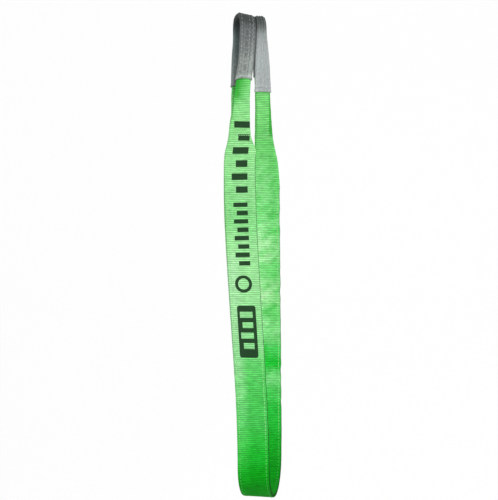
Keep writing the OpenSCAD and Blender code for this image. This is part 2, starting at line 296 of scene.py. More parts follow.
def down_the_leg(side, ply, fall):
    """(middle, outward, across) of a ply at distances fall below the throat. The eye's frame
    turns into the leg's by the eased share of the way, and half of its twist fades further down."""
    lean, length = leg_frame(side)
    eye_lean, drift, eye_len = eye_frame(side)
    zero = np.zeros_like(fall)
    above = from_eye(np.stack([zero + drift, zero, -eye_len - fall], -1), side)
    x = LEG_TOP_X[side] * ease((length - fall) / (length - DRIFT_FROM))
    x = x + (1 - ply) / 2 * INNER_ASIDE[side] * ease(fall / 0.18) * ease((length - fall) / 0.3)
    below = turn(np.stack([x, zero + side * between_r, length - fall], -1), x=side * lean)
    below[..., 2] -= drop
    share = ease((fall - OPEN_FROM) / OPEN_IN)[..., None]
    yaw = bar_yaw * sum(0.5 * (1 - ease(fall / gone)) for gone in UNTWIST)
    tilt = eye_lean + (side * lean - eye_lean) * share[..., 0]
    outward = turn(zero[..., None] + [0, side * ply, 0], tilt, yaw)
    across = turn(zero[..., None] + [1, 0, 0], z=yaw)
    step = FOLDED_STEP + (PLY_STEP - FOLDED_STEP) * ease((fall - FLAT_FROM[side]) / FLAT_IN)
    return above * (1 - share) + below * share + outward * step[..., None], outward, across


def round_the_load(ply, angle):
    """The same round the load, at angles from the front (0) past the bottom (90 degrees)."""
    zero = np.zeros_like(angle)
    radial = np.stack([zero, -np.cos(angle), -np.sin(angle)], -1)
    middle = radial * (between_r + ply * PLY_STEP)
    middle[..., 2] -= drop
    return middle, radial * ply, zero[..., None] + [1, 0, 0]


def leg_and_turn(side, ply, far_angle):
    """A course: a function of distance from the loop's foot down the leg and round the load
    to far_angle (measured from the leg's own side), and its length."""
    lean, length = leg_frame(side)
    straight = length - LOOP_FOOT
    r = between_r + ply * PLY_STEP

    def course(d):
        hanging = down_the_leg(side, ply, LOOP_FOOT + np.minimum(d, straight))
        middle, outward, across = round_the_load(ply, np.maximum(d - straight, 0) / r - lean)
        turned = middle * [1, -side, 1], outward * [1, -side, 1], across
        on_load = (d > straight)[..., None]
        return [np.where(on_load, a, b) for a, b in zip(turned, hanging)]

    return course, straight + r * (far_angle + lean)


def turn_part(ply, from_angle, to_angle):
    """A course and its length: a part of the turn under the load."""
    r = between_r + ply * PLY_STEP
    return lambda d: round_the_load(ply, from_angle + d / r), r * (to_angle - from_angle)


def webbing(name, side, course, length, rib_number, straight_half=None, columns=23):
    """A closed band along a course. Across it, arc length v runs straight out to straight_half,
    where that is given, then round a bend of radius FOLD_R for at most half a turn, and
    straight back. Thickness is WEB_T plus ribs of height RIB_H |sin(pi rib)|, and is rounded
    off at the edges. UV is (rib_number, millimetres across)."""
    ribs = int(round(length / RIB))
    rib = np.linspace(0, ribs, ribs * ROWS_PER_RIB + 1)
    middle, outward, across = [g[:, None, :] for g in course(rib / ribs * length)]
    v = np.concatenate([-EDGE_LINES[::-1], np.linspace(-EVEN_TO, EVEN_TO, columns), EDGE_LINES])
    bulge = np.abs(np.sin(np.pi * rib))[:, None]
    v = v * (1 + EDGE_BULGE * bulge * (np.abs(v) * 2 / WEB_W) ** 12)
    half = WEB_W / 2
    if straight_half:
        left, right = straight_half(rib / ribs * length).T[..., None]
        half = np.where(v < 0, left, right)
    bend = np.clip((np.abs(v) - half) / FOLD_R, 0, np.pi)
    back = np.maximum(np.abs(v) - half - np.pi * FOLD_R, 0)
    a = np.sign(v) * (np.minimum(np.abs(v), half) + FOLD_R * np.sin(bend) - back)
    n = -FOLD_R * (1 - np.cos(bend))
    round_off = np.sqrt(np.clip(1 - ((np.abs(v) - EDGE_FROM) / EDGE_R).clip(0) ** 2, 0.06, 1))
    thick = (WEB_T / 2 - RIB_H / 2 + RIB_H * bulge) * round_off
    normal = (np.sign(v) * np.sin(bend))[..., None] * across + np.cos(bend)[..., None] * outward
    surface = middle + a[..., None] * across + n[..., None] * outward
    top, under = [settled(surface + way * normal * thick[..., None], side) for way in (1, -1)]
    uv = np.stack(np.broadcast_arrays(rib_number(rib, ribs)[:, None], v * 1000), -1)
    return shell(name, top, under, uv)


def shell(name, top, under, uv, tube=False):
    """Two grids of points as one closed mesh: both faces, both ends, and both edges unless the
    grid closes on itself as a tube. The ends of a band are shaded flat. UV is + 200 in its
    second number on the under face."""
    rows, cols = top.shape[:2]
    i = np.arange(rows * cols).reshape(rows, cols)
    if tube:
        i = np.concatenate([i, i[:, :1]], 1)
    j = i + rows * cols

    def strip(a, b):
        return np.stack([a[:-1], a[1:], b[1:], b[:-1]], -1).reshape(-1, 4)

    def sheet(g):
        return np.stack([g[:-1, :-1], g[1:, :-1], g[1:, 1:], g[:-1, 1:]], -1).reshape(-1, 4)

    edges = [] if tube else [strip(j[:, 0], i[:, 0]), strip(i[:, -1], j[:, -1])]
    ends = np.concatenate([strip(i[0], j[0]), strip(j[-1], i[-1])])
    quads = np.concatenate([sheet(i), sheet(j)[:, ::-1], *edges, ends])
    at = top[0, cols // 2]
    face = np.cross(top[1, cols // 2] - at, top[0, cols // 2 + 1] - top[0, cols // 2 - 1])
    if np.dot(face, at - under[0, cols // 2]) < 0:
        quads = quads[:, ::-1]
    points = np.concatenate([top.reshape(-1, 3), under.reshape(-1, 3)])
    point_uv = np.concatenate([uv.reshape(-1, 2), uv.reshape(-1, 2) + [0, 200]])
    return cloth_mesh(name, points, quads, point_uv, hard=0 if tube else len(ends))


def cloth_mesh(name, points, quads, point_uv, hard=0):
    """A smooth-shaded mesh object at the origin. The last hard faces are shaded flat, so that
    the cut end of a piece leaves no shade on the piece that goes on from it."""
    mesh = bpy.data.meshes.new(name)
    mesh.vertices.add(len(points))
    mesh.vertices.foreach_set("co", points.astype(np.float32).ravel())
    mesh.loops.add(quads.size)
    mesh.loops.foreach_set("vertex_index", quads.astype(np.int32).ravel())
    mesh.polygons.add(len(quads))
    mesh.polygons.foreach_set("loop_start", np.arange(0, quads.size, 4, dtype=np.int32))
    mesh.update(calc_edges=True)
    mesh.polygons.foreach_set("use_smooth", np.arange(len(quads)) < len(quads) - hard)
    mesh.uv_layers.new(name="weave").data.foreach_set("uv", point_uv[quads.ravel()].ravel())
    mesh.validate()
    return place(name, mesh)


class Field:
    """A number that a node tree works out at each point. Arithmetic on it adds Math nodes."""

    def __init__(self, socket):
        self.socket = socket

    __add__ = __radd__ = lambda a, b: calc("ADD", a, b)
    __mul__ = __rmul__ = lambda a, b: calc("MULTIPLY", a, b)
    __sub__ = lambda a, b: calc("SUBTRACT", a, b)
    __rsub__ = lambda a, b: calc("SUBTRACT", b, a)
    __truediv__ = lambda a, b: calc("DIVIDE", a, b)
    __pow__ = lambda a, b: calc("POWER", a, b)
    __abs__ = lambda a: calc("ABSOLUTE", a)


def calc(operation, *numbers):
    """The result of a Math node. At least one of the numbers is a Field."""
    tree = next(n.socket.id_data for n in numbers if isinstance(n, Field))
    return Field(add_node(tree, "Math", dict(enumerate(numbers)), operation=operation).outputs[0])


def parts(tree, vector):
    """The three numbers of a vector."""
    return [Field(socket) for socket in add_node(tree, "SeparateXYZ", {0: vector}).outputs]


def clamped(result):
    """A Math node's result, kept between 0 and 1."""
    result.socket.node.use_clamp = True
    return result


def between(x, low, high, soft):
    """1 where low < x < high, with edges soft wide."""
    return clamped((x - low) / soft) * clamped((high - x) / soft)


def ridges(x, power):
    """|sin(pi x)| to a power: a round ridge for each unit of x."""
    return abs(calc("SINE", x * np.pi)) ** power


def odd(x):
    """1 in every second unit of x, and 0 in the others."""
    return calc("PINGPONG", calc("FLOOR", x), 1.0)


def cloud(x, y, detail, distortion=0.0, dimensions="2D"):
    """Noise from 0 to 1 at the place (x, y)."""
    tree = x.socket.id_data
    spot = add_node(tree, "CombineXYZ", {0: x, 1: y}).outputs[0]
    noise = add_node(tree, "TexNoise", {"Scale": 1.0, "Detail": detail, "Distortion": distortion,
                                        "Vector": spot}, noise_dimensions=dimensions)
    return Field(noise.outputs["Fac"])


def effect(name, outputs):
    """A new node group that turns UV into the named numbers: (group, its end node, u, v)."""
    group = bpy.data.node_groups.new(name, "ShaderNodeTree")
    group.interface.new_socket("UV", in_out="INPUT", socket_type="NodeSocketVector")
    for label in outputs:
        group.interface.new_socket(label, in_out="OUTPUT", socket_type="NodeSocketFloat")
    uv = group.nodes.new("NodeGroupInput").outputs["UV"]
    return group, group.nodes.new("NodeGroupOutput"), *parts(group, uv)[:2]


# Ribbed weave: warp yarns of YARN pitch pass over each cross rib, moved half a yarn from one
# rib to the next. Height is high on the middle of each yarn and rib. Shade is dark between
# them and uneven from rib to rib. Crease is a slanting, cloudy mask that places painted light
# and painted shade on the crinkles of the used webbing.
YARN = 1.3                           # millimetres from one warp yarn to the next
weave, result, rib_at, across_at = effect("ribbed_weave", ["Height", "Shade", "Crease"])
yarn_round = ridges(across_at / YARN + odd(rib_at) * 0.5, 0.6)
rib_round = ridges(rib_at, 0.8)
dark = (1.0 - rib_round) * 0.75 + (1.0 - yarn_round) * 0.22
uneven = cloud(calc("FLOOR", rib_at) * 3.7, across_at * 0.07, 2.0)
crease = cloud(rib_at * 0.20 + across_at * 0.014, across_at * 0.045, 5.0, 0.6)
feed(result, {"Height": yarn_round * rib_round, "Shade": (1.15 - dark) * (uneven * 0.68 + 0.66),
              "Crease": clamped((crease - 0.32) * 2.8)})


def srgb(*rgb):
    """A display colour of 0 to 255 as the linear colour that a socket takes."""
    c = np.array(rgb) / 255
    return (*np.where(c <= 0.04045, c / 12.92, ((c + 0.055) / 1.055) ** 2.4), 1)


def way_along(x, low, high):
    """How far x has come from low to high, from 0 to 1."""
    return add_node(x.socket.id_data, "MapRange",
                    {"Value": x, "From Min": low, "From Max": high}).outputs[0]


def colour_along(x, stops):
    """Colour that follows x: stops are (x, red, green, blue), each colour from 0 to 255."""
    low, high = stops[0][0], stops[-1][0]
    ramp = add_node(x.socket.id_data, "ValToRGB", {0: way_along(x, low, high)})
    ramp.color_ramp.interpolation = "EASE"
    elements = ramp.color_ramp.elements
    for _ in stops[2:]:
        elements.new(1.0)
    for element, (at, *colour) in zip(elements, stops):
        element.position, element.color = (at - low) / (high - low), srgb(*colour)
    return ramp.outputs[0]


def mixed(tree, a, b, factor, kind="MIX"):
    """Colour a turned to b, or multiplied by b, by the factor."""
    return add_node(tree, "Mix", {"A": a, "B": b, "Factor": factor}, data_type="RGBA",
                    blend_type=kind).outputs["Result"]


def fabric(name, gloss, sheen):
    """A new material and its node tree, with the fabric's gloss and sheen on its own shader."""
    material = bpy.data.materials.new(name)
    material.use_nodes = True
    feed(material.node_tree.nodes["Principled BSDF"],
         {"Specular IOR Level": gloss, "Sheen Weight": sheen, "Sheen Roughness": 0.5})
    return material, material.node_tree


def woven(tree, group):
    """The two numbers of the piece's UV map, then what an effect makes of them."""
    uv = add_node(tree, "UVMap", uv_map="weave").outputs[0]
    made = add_node(tree, "Group", {"UV": uv}, node_tree=group).outputs
    return *parts(tree, uv)[:2], *[Field(socket) for socket in made]


def dress(tree, colour, height, strength, distance, rough):
    """Lead colour, roughness and the bump of a height into a material's shader."""
    bump = add_node(tree, "Bump", {"Height": height, "Strength": strength, "Distance": distance})
    feed(tree.nodes["Principled BSDF"], {"Base Color": colour, "Roughness": rough,
                                         "Normal": bump.outputs[0]})


CREASE_SPAN = (-32, 216)             # ribs that the strength of creases may be given for
CREASE_SHADE, CREASE_LIGHT = (0.60, 0.88, 0.64, 1), (1.32, 1.08, 1.28, 1)   # painted shade and painted light of the crinkles, as factors on a colour
RIM, RIM_W, RIM_DARKENING = 28.0, 2.0, 0.14     # millimetres out to where the edges start to darken, the width of that, share
WALL, WALL_W = 29.2, 0.5                   # millimetres out to where an edge turns down, and the width over which its side wall fades into painted shade
LEFT, LEFT_W = -3.0, 15.0                  # millimetres across, where left_stops come in
INK = srgb(26, 54, 31)


def web_material(name, stops, creased, left_stops=None, light_and_shade_tints=(), marks=None):
    """Green polyester webbing: colour by stops along the course, which hold painted light and
    shade, and by left_stops on its left where that differs; painted light and shade on crinkles,
    whose strength follows the (rib, strength) pairs of creased; the ribbed weave; edges that get
    darker towards the rim; painted shade on the side walls of the edges; light_and_shade_tints
    as (tint, ribs, share across), patches of painted light and shade; and ink from marks."""
    material, tree = fabric(name, gloss=0.06, sheen=0.02)
    rib, v, height, shade, crease = woven(tree, weave)
    v = v - calc("GREATER_THAN", v, 100.0) * 200.0
    colour = colour_along(rib, stops)
    if left_stops:
        colour = mixed(tree, colour, colour_along(rib, left_stops), clamped((LEFT - v) / LEFT_W))
    strength = add_node(tree, "FloatCurve", {"Factor": 1.0, "Value": way_along(rib, *CREASE_SPAN)})
    points = strength.mapping.curves[0].points
    for _ in creased[2:]:
        points.new(0.5, 0.5)
    for point, (at, value) in zip(points, creased):
        point.location = ((at - CREASE_SPAN[0]) / (CREASE_SPAN[1] - CREASE_SPAN[0]), value)
    strength.mapping.update()
    # Painted shade and painted light of the crinkles, where the crease mask falls.
    crinkle_light_and_shade = mixed(tree, CREASE_SHADE, CREASE_LIGHT, crease)
    colour = mixed(tree, colour, crinkle_light_and_shade, strength.outputs[0], "MULTIPLY")
    # Patches of painted light and shade.
    for tint, ribs, across in light_and_shade_tints:
        colour = mixed(tree, colour, (*tint, 1), between(rib, *ribs) * across(v), "MULTIPLY")
    # Darker towards the rim of each edge.
    tone = shade * (1.0 - clamped((abs(v) - RIM) / RIM_W) * RIM_DARKENING)
    # Painted shade on the side walls of the edges, deep on the right and light on the left.
    for way, dark in ((1.0, 0.75), (-1.0, 0.15)):
        tone = tone * (1.0 - clamped((v * way - WALL) / WALL_W) * dark)
    colour = mixed(tree, colour, tone, 1.0, "MULTIPLY")
    if marks:
        ink = woven(tree, marks)[-1]
        colour = mixed(tree, colour, INK, ink * (height * 0.07 + 0.93))
    dress(tree, colour, height, 0.8, 0.0004, 0.80 - height * 0.14)
    return material


# Plain printed marks in dark ink, down the front leg's outer face: a row of bold bars, a
# finer row of bars like a scale, a ring, and a round-cornered block with light bars left
# in it. X is the number of the rib below the throat, Y is millimetres across.
marks, result, rib_at, across_at = effect("printed_marks", ["Ink"])


def bar_row(first, pitch, count, share, low, high, shorter):
    """count bars, pitch ribs apart from rib first, each share of a pitch wide and lying from
    low to high across; every second one starts shorter millimetres further in."""
    bar_at = (rib_at - first) / pitch
    bars = between(calc("FRACT", bar_at), 0.0, share, 0.04) * between(bar_at, 0.0, count, 0.02)
    start = odd(bar_at) * shorter + low
    return bars * (clamped((across_at - start) / 0.5) * clamped((high - across_at) / 0.5))


def reach(x, y):
    """Distance of the place (x, y) from the origin."""
    return calc("SQRT", x * x + y * y)


def ring(rib, across, radius, stroke):
    """A ring round a place, in millimetres."""
    r = reach((rib_at - rib) * (RIB * 1000), across_at - across)
    return between(r, radius - stroke / 2, radius + stroke / 2, 0.5)


def rounded_block(first, last, low, high, corner):
    """A filled rectangle with corners of radius corner, in millimetres."""
    x = abs((rib_at - (first + last) / 2) * (RIB * 1000)) - ((last - first) * RIB * 500 - corner)
    y = abs(across_at - (low + high) / 2) - ((high - low) / 2 - corner)
    r = reach(calc("MAXIMUM", x, 0.0), calc("MAXIMUM", y, 0.0))
    return clamped((corner - r) / 0.5)


ink = rounded_block(96.0, 124.2, -17.5, 19.0, 5.0) * (
    1.0 - bar_row(99.3, 5.6, 4, 0.60, -12.5, 12.5, 4.0))
for mark in (bar_row(-5.5, 7.2, 6, 0.55, -16.0, 15.0, 8.0), ring(84.3, -1.5, 13.5, 6.5),
             bar_row(39.5, 4.6, 8, 0.58, -14.0, 14.0, 6.0)):
    ink = calc("MAXIMUM", ink, mark)
feed(result, {"Ink": ink})

# Greens along each leg and round the bight, with painted light and shade in them: the darker stop just
# below the front sleeve's hem is a painted shadow, the pale bands on the rear leg are painted
# highlights on its crinkles, and the deep green of the last stops is painted shade where the webbing
# turns under the load.
FRONT_STOPS = [
    (-28, 112, 210, 112), (-16, 142, 222, 140), (-4, 144, 223, 140), (12, 150, 227, 147),
    (31, 146, 221, 144), (50, 136, 220, 136), (66, 156, 229, 153), (86, 158, 229, 155),
    (106, 146, 224, 146), (118, 144, 224, 146), (128, 98, 212, 106), (142, 80, 203, 90),
    (158, 74, 200, 87), (168, 48, 192, 62), (176, 28, 186, 46), (186, 7, 164, 21),
    (194, 2, 142, 14),
]
FRONT_LEFT_STOPS = [
    (-28, 96, 200, 98), (-16, 126, 216, 126), (-4, 138, 221, 134), (12, 150, 227, 147),
    (50, 138, 220, 137), (62, 158, 230, 154), (74, 172, 232, 170), (108, 163, 229, 162),
    (122, 150, 224, 152), (140, 134, 224, 138), (156, 101, 212, 111), (168, 80, 208, 90),
    (176, 56, 197, 69), (186, 20, 174, 34), (194, 5, 146, 17),
]
REAR_STOPS = [
    (-16, 126, 218, 123), (8, 110, 209, 110), (24, 122, 218, 124), (50, 130, 226, 133),
    (68, 160, 235, 157), (76, 120, 223, 124), (92, 160, 233, 156), (102, 118, 222, 122),
    (110, 140, 231, 142), (117, 128, 226, 132), (124, 70, 213, 88), (132, 34, 204, 58),
    (141, 124, 229, 132), (150, 80, 213, 95), (159, 47, 207, 68), (182, 26, 184, 42),
    (194, 12, 154, 25),
]
FRONT_CREASES = ((-32, 0.20), (50, 0.15), (115, 0.08), (135, 0.45), (170, 0.45), (195, 0.30))
REAR_CREASES = ((-32, 0.15), (15, 0.35), (40, 0.75), (110, 0.95), (160, 0.8), (195, 0.2))
front_green = web_material("webbing_green_front", FRONT_STOPS, FRONT_CREASES, FRONT_LEFT_STOPS)
# The printed strap's tints are painted shade: deep green on its left where the folded-in edges tuck
# under the sleeve, and a painted shadow just below the sleeve's hem.
printed_green = web_material("webbing_green_printed", FRONT_STOPS, FRONT_CREASES, FRONT_LEFT_STOPS, (
    ((0.27, 0.68, 0.28), (-40.0, -13.5, 6.0), lambda v: clamped((9.0 - v) / 20.0)),
    ((0.60, 0.74, 0.62), (-40.0, -27.6, 1.0), lambda v: clamped((12.0 - v) / 20.0)),
), marks)
# The rear webbing's tints are painted light and shade: painted shade along its folded right edge below
# the sleeve, a painted shadow just below the sleeve's hem, painted light on its left, which the front
# leg shades, and a darker right side.
rear_green = web_material("webbing_green_rear", REAR_STOPS, REAR_CREASES, light_and_shade_tints=(
    ((0.30, 0.62, 0.30), (-24.0, 3.0, 3.0), lambda v: between(v, 10.5, 30.0, 1.5)),
    ((0.75, 0.82, 0.75), (-40.0, -21.3, 0.8), lambda v: between(v, -30.0, 30.0, 1.0)),
    ((1.38, 1.13, 1.36), (2.0, 124.0, 10.0), lambda v: clamped((11.0 - v) / 20.0)),
    ((0.82, 0.97, 0.84), (14.0, 114.0, 10.0), lambda v: clamped((v - 9.0) / 10.0)),
))


def stand_in(piece, material, slot, *nodes):
    """Give a piece its material, and hide the plain CAD nodes that it stands in for."""
    piece.data.materials.append(material)
    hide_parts(*nodes)


def bend_over(piece):
    """Bake a piece's transform into its mesh."""
    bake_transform(piece)


def bend_from_leg(piece):
    """Bake a leg piece's transform into its mesh, as bend_over does."""
    bend_over(piece)


def bend_in_bight(piece, i, course, length):
    """Bake the transform of a piece that follows a course round the bight into its mesh; the ends of
    the course are worked out but not used.
    """
    start, end = course(np.array([0.0, length]))[0]
    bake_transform(piece)


hinges = [np.array(joints["basket_open" + (f"_{i}" if i > 1 else "")]["pos_m"]) for i in range(1, 7)]
hinge_at = [np.arctan2(-(h[2] + drop), -h[1]) for h in hinges]   # from the front, past the bottom
cuts = [(a + b) / 2 for a, b in zip(hinge_at, hinge_at[1:])]     # middles of bight_1 to bight_5
leg_ribs = {}
for side in (-1, 1):
    for ply in (1, -1):
        course, length = leg_and_turn(side, ply, cuts[0])
        leg_ribs[side] = int(round(length / RIB))
        name = f"{side_name[side]}_leg_{ply_name[ply]}"
        green = rear_green if side > 0 else printed_green if ply > 0 else front_green
        piece = webbing(name + "_web", side, course, length, lambda rib, ribs: LOOP_FOOT_RIB + rib)
        bend_from_leg(piece)
        stand_in(piece, green, "green_webbing", name + "_ply")

for ply in (1, -1):
    for i in range(4):
        course, length = turn_part(ply, cuts[i], cuts[i + 1])
        ribs = int(round(length / RIB))
        side, done, way = (-1, i, 1) if i < 2 else (1, 4 - i, -1)
        first = LOOP_FOOT_RIB + leg_ribs[side] + done * ribs
        piece = webbing(f"bight_{i + 1}_to_{i + 2}_{ply_name[ply]}_web", side, course, length,
                        lambda rib, ribs: first + way * rib)
        bend_in_bight(piece, i, course, length)
        stand_in(piece, front_green if i < 2 else rear_green, "green_webbing",
                 *[f"bight_{k}_{ply_name[ply]}_ply" for k in ([i + 1] if i < 3 else [4, 5])])


# ---- Eyes ----
# At each end the webbing is folded in from both edges to half its width, and goes up one
# strap, over the hook's bar and down the other. The folds lie on the inside of the eye,
# and they fan out to the edges just below the throat, where the straps are sewn together.
STRAP_R = 0.0244                     # middle of the outer layer, from the bar's centre
EYE_COLUMNS = 45
# How far an eye's front (-1) and rear (1) strap bow out along the bar:
SWAY = {(-1, -1): -0.0012, (-1, 1): -0.0015, (1, -1): 0.0022, (1, 1): 0.0070}
# Half the width left straight, at distances below the bar, left and right of each eye:
FOLD_AT = {
    (-1, -1): [(0, 11.6), (107, 11.6), (130, 13.0), (161, 14.4), (184, 18.9), (207, 22.0),
               (230, 25.6), (256, 30)],
    (-1, 1): [(0, 11.6), (107, 11.6), (150, 12.6), (184, 13.4), (207, 14.4), (217, 17.0),
              (240, 27.0), (258, 30)],
    (1, -1): [(0, 11.6), (196, 11.6), (238, 15.0), (270, 21.5), (300, 27.5), (316, 30)],
    (1, 1): [(0, 11.6), (119, 11.6), (150, 12.6), (184, 14.8), (230, 19.6), (280, 25.2),
             (300, 27.5), (316, 30)],
}


def eye_loop(side, r, step):
    """(tilt, strap, arch): how each strap leans where it touches the arch over the bar, its
    length, and the arch's, for a course of radius r that is step from the middle at the throat."""
    eye_len = eye_frame(side)[2]
    tilt = touch(step, eye_len, r)
    return tilt, np.sqrt(step**2 + eye_len**2 - r**2), r * (np.pi + 2 * tilt)


def round_the_bar(side, along, r, step):
    """(middle, outward, across) round an eye, at distances along from its rear strap's throat,
    over the bar on radius r, to its front strap's throat. The straps are straight."""
    lean, drift, eye_len = eye_frame(side)
    tilt, strap, arch = eye_loop(side, r, step)
    angle = np.clip((along - strap) / r, 0, np.pi + 2 * tilt) - tilt
    run = np.maximum(strap - along, 0) + np.maximum(along - strap - arch, 0)
    way = np.where(along < strap + arch / 2, 1.0, -1.0)
    y = r * np.cos(angle) - way * run * np.sin(tilt)
    z = r * np.sin(angle) - run * np.cos(tilt)
    part_way = np.clip(-z / eye_len, 0, 1)
    sway = np.where(way > 0, SWAY[side, 1], SWAY[side, -1]) * np.sin(np.pi * part_way) ** 1.5
    middle = from_eye(np.stack([drift * ease(part_way) + sway, y, z], -1), side)
    outward = np.stack([0 * y, np.cos(angle), np.sin(angle)], -1)
    return middle, turn(outward, lean, bar_yaw), 0 * y[..., None] + bar


def loop_course(side):
    """The whole of a loop: up from one ply's foot below the throat, round the eye, and down to
    the other ply's foot. Returns the course, the half width left straight, and the length."""
    tilt, strap, arch = eye_loop(side, STRAP_R, FOLDED_STEP)
    round_it = 2 * strap + arch
    total = round_it + 2 * LOOP_FOOT

    def course(d):
        up = down_the_leg(side, side, np.maximum(LOOP_FOOT - d, 0))
        down = down_the_leg(side, -side, np.maximum(d - LOOP_FOOT - round_it, 0))
        over = round_the_bar(side, np.clip(d - LOOP_FOOT, 0, round_it), STRAP_R, FOLDED_STEP)
        first, last = (d < LOOP_FOOT)[..., None], (d > LOOP_FOOT + round_it)[..., None]
        return [np.where(first, a, np.where(last, b, c)) for a, b, c in zip(up, down, over)]

    def straight_half(d):
        down = np.where(d < total / 2, LOOP_FOOT - d, d - LOOP_FOOT - round_it)
        down = (down + eye_frame(side)[2]) * 1000
        return np.stack([smooth_through(FOLD_AT[side, way], down) for way in (-1, 1)], 1) / 1000

    return course, straight_half, total


for side in (-1, 1):
    course, straight_half, length = loop_course(side)
    piece = webbing(f"{side_name[side]}_eye_web", side, course, length,
                    lambda rib, ribs: LOOP_FOOT_RIB - np.minimum(rib, ribs - rib), straight_half,
                    EYE_COLUMNS)
    bend_over(piece)
    stand_in(piece, front_green if side < 0 else rear_green, "green_webbing",
             f"{side_name[side]}_eye_webbing")
    if side < 0:                     # the strap that shows its face has the printed green
        piece.data.materials.append(printed_green)
        corners = np.empty(len(piece.data.loops), np.int32)
        piece.data.loops.foreach_get("vertex_index", corners)
        cols = EYE_COLUMNS + 2 * len(EDGE_LINES)
        rows = len(piece.data.vertices) // 2 // cols
        row = corners[::4] % (rows * cols) // cols
        piece.data.polygons.foreach_set("material_index", (row > rows // 2).astype(np.int32))


# ---- Edge seams ----
# The two plies of a leg are sewn together 5 mm in from each edge, right round the bight, with
# a thick light green thread. It shows as a row of long lockstitches on both outer faces.
SEAM_IN, STITCH, STITCH_H, STITCH_PITCH = 0.0050, 0.0048, 0.0006, 0.0070
SIDES = 6                            # of a stitch
# Places along a stitch, from -1 to 1, and its thickness there:
STITCH_FORM = np.array([[-1.0, 0.35], [-0.78, 0.9], [0, 1.0], [0.78, 0.9], [1.0, 0.35]])


def stitches(name, side, course, centres, v, long=STITCH, wide=0.0017, slant=0.0, face=WEB_T / 2):
    """Rows of thread laid along a course: one capsule of length long round each distance in
    centres, at each v across. It is an oval of width wide on a surface that is face from the
    course, its size follows STITCH_FORM, and each second one leans the other way, by slant."""
    centres, v = [g.ravel() for g in np.meshgrid(centres, np.atleast_1d(v), indexing="ij")]
    angle = np.arange(SIDES) * 2 * np.pi / SIDES
    d = centres[:, None] + STITCH_FORM[None, :, 0] * long / 2
    middle, outward, across = [g.reshape(*d.shape, 1, 3) for g in course(d.ravel())]
    size = STITCH_FORM[None, :, 1, None]
    lean = slant * np.where(np.arange(len(centres)) % 2, 1, -1)[:, None] * (d - centres[:, None])
    aside = v[:, None, None] + lean[..., None] + np.cos(angle) * size * wide / 2
    lift = face + np.sin(angle) * size * STITCH_H
    points = settled(middle + aside[..., None] * across + lift[..., None] * outward, side)
    i = np.arange(d.size * SIDES).reshape(*d.shape, SIDES)
    j = np.roll(i, -1, 2)
    walls = np.stack([i[:, :-1], j[:, :-1], j[:, 1:], i[:, 1:]], -1).reshape(-1, 4)
    caps = [i[:, 0][:, k] for k in ([0, 5, 4, 3], [0, 3, 2, 1])]
    caps += [i[:, -1][:, k] for k in ([0, 1, 2, 3], [0, 3, 4, 5])]
    quads = np.concatenate([walls] + caps)
    a, b, c = points[0, 0, 0], points[0, 0, 1], points[0, 1, 0]
    if np.dot(np.cross(b - a, c - a), a - points[0, 0].mean(0)) < 0:
        quads = quads[:, ::-1]
    uv = np.stack([i.ravel() % SIDES, i.ravel() // SIDES], -1).astype(float)
    return cloth_mesh(name, points.reshape(-1, 3), quads, uv)


def joined(name, pieces):
    """One object made of several."""
    with bpy.context.temp_override(active_object=pieces[0], selected_editable_objects=pieces):
        bpy.ops.object.join()
    pieces[0].name = pieces[0].data.name = name
    return pieces[0]


def thread_material(name, stops):
    """Twisted polyester thread, coloured by height: stops are (metres, red, green, blue)."""
    material, tree = fabric(name, gloss=0.2, sheen=0.0)
    spot = add_node(tree, "TexCoord").outputs["Object"]
    colour = colour_along(parts(tree, spot)[2], stops)
    twist = add_node(tree, "TexWave", {"Vector": spot, "Scale": 700, "Distortion": 1.5},
                     bands_direction="DIAGONAL").outputs["Fac"]
    dress(tree, mixed(tree, colour, twist, 0.45, "MULTIPLY"), twist, 0.5, 0.0002, 0.6)
    return material


# The green thread darkens towards the bottom: painted shade where the webbing turns under the load.
green_thread = thread_material("thread_green", [
    (-0.92, 40, 160, 48), (-0.88, 60, 184, 68), (-0.82, 104, 216, 106), (-0.76, 150, 240, 148),
    (-0.60, 168, 240, 164), (-0.20, 170, 238, 166),
])


def seam_centres(length):
    """Middles of the stitches along a length, a whole number of them, evenly spaced."""
    count = int(round(length / STITCH_PITCH))
    return (np.arange(count) + 0.5) * length / count


def seam_pair(name, side, courses):
    """The stitches on the outer face of the outer ply and on the free face of the inner one."""
    seams = (SEAM_IN - WEB_W / 2, WEB_W / 2 - SEAM_IN)
    return joined(name, [stitches(name, side, course, seam_centres(length), seams)
                         for course, length in courses])


for side in (-1, 1):
    piece = seam_pair(f"{side_name[side]}_leg_stitches", side,
                      [leg_and_turn(side, ply, cuts[0]) for ply in (1, -1)])
    bend_from_leg(piece)
    stand_in(piece, green_thread, "green_thread", f"{side_name[side]}_leg_seams")

for i in range(4):
    courses = [turn_part(ply, cuts[i], cuts[i + 1]) for ply in (1, -1)]
    piece = seam_pair(f"bight_{i + 1}_to_{i + 2}_stitches", -1 if i < 2 else 1, courses)
    bend_in_bight(piece, i, *courses[0])
    stand_in(piece, green_thread, "green_thread",
             *[f"bight_{k}_seams" for k in ([i + 1] if i < 3 else [4, 5])])


# ---- Throat stitching ----
# Just below each throat, three rows of thread cross the folded webbing and close the eye.
# They lie on the outer faces of both plies and belong to the leg.
ROW_FALL, ROW_PITCH, ROW_HALF = 0.0026, 0.0035, 0.016    # first row's place, pitch, half length
CROSS_PITCH, CROSS_STITCH = 0.0044, 0.0036


def row_across(side, ply, fall):
    """The course of a row of stitches across a ply at a distance below the throat."""
    middle, outward, across = [g[0] for g in down_the_leg(side, ply, np.array([fall]))]
    down = np.cross(across, outward)
    return lambda d: [np.broadcast_to(g, (len(d), 3)) for g in (middle + d[:, None] * across,
                                                                outward, down)]


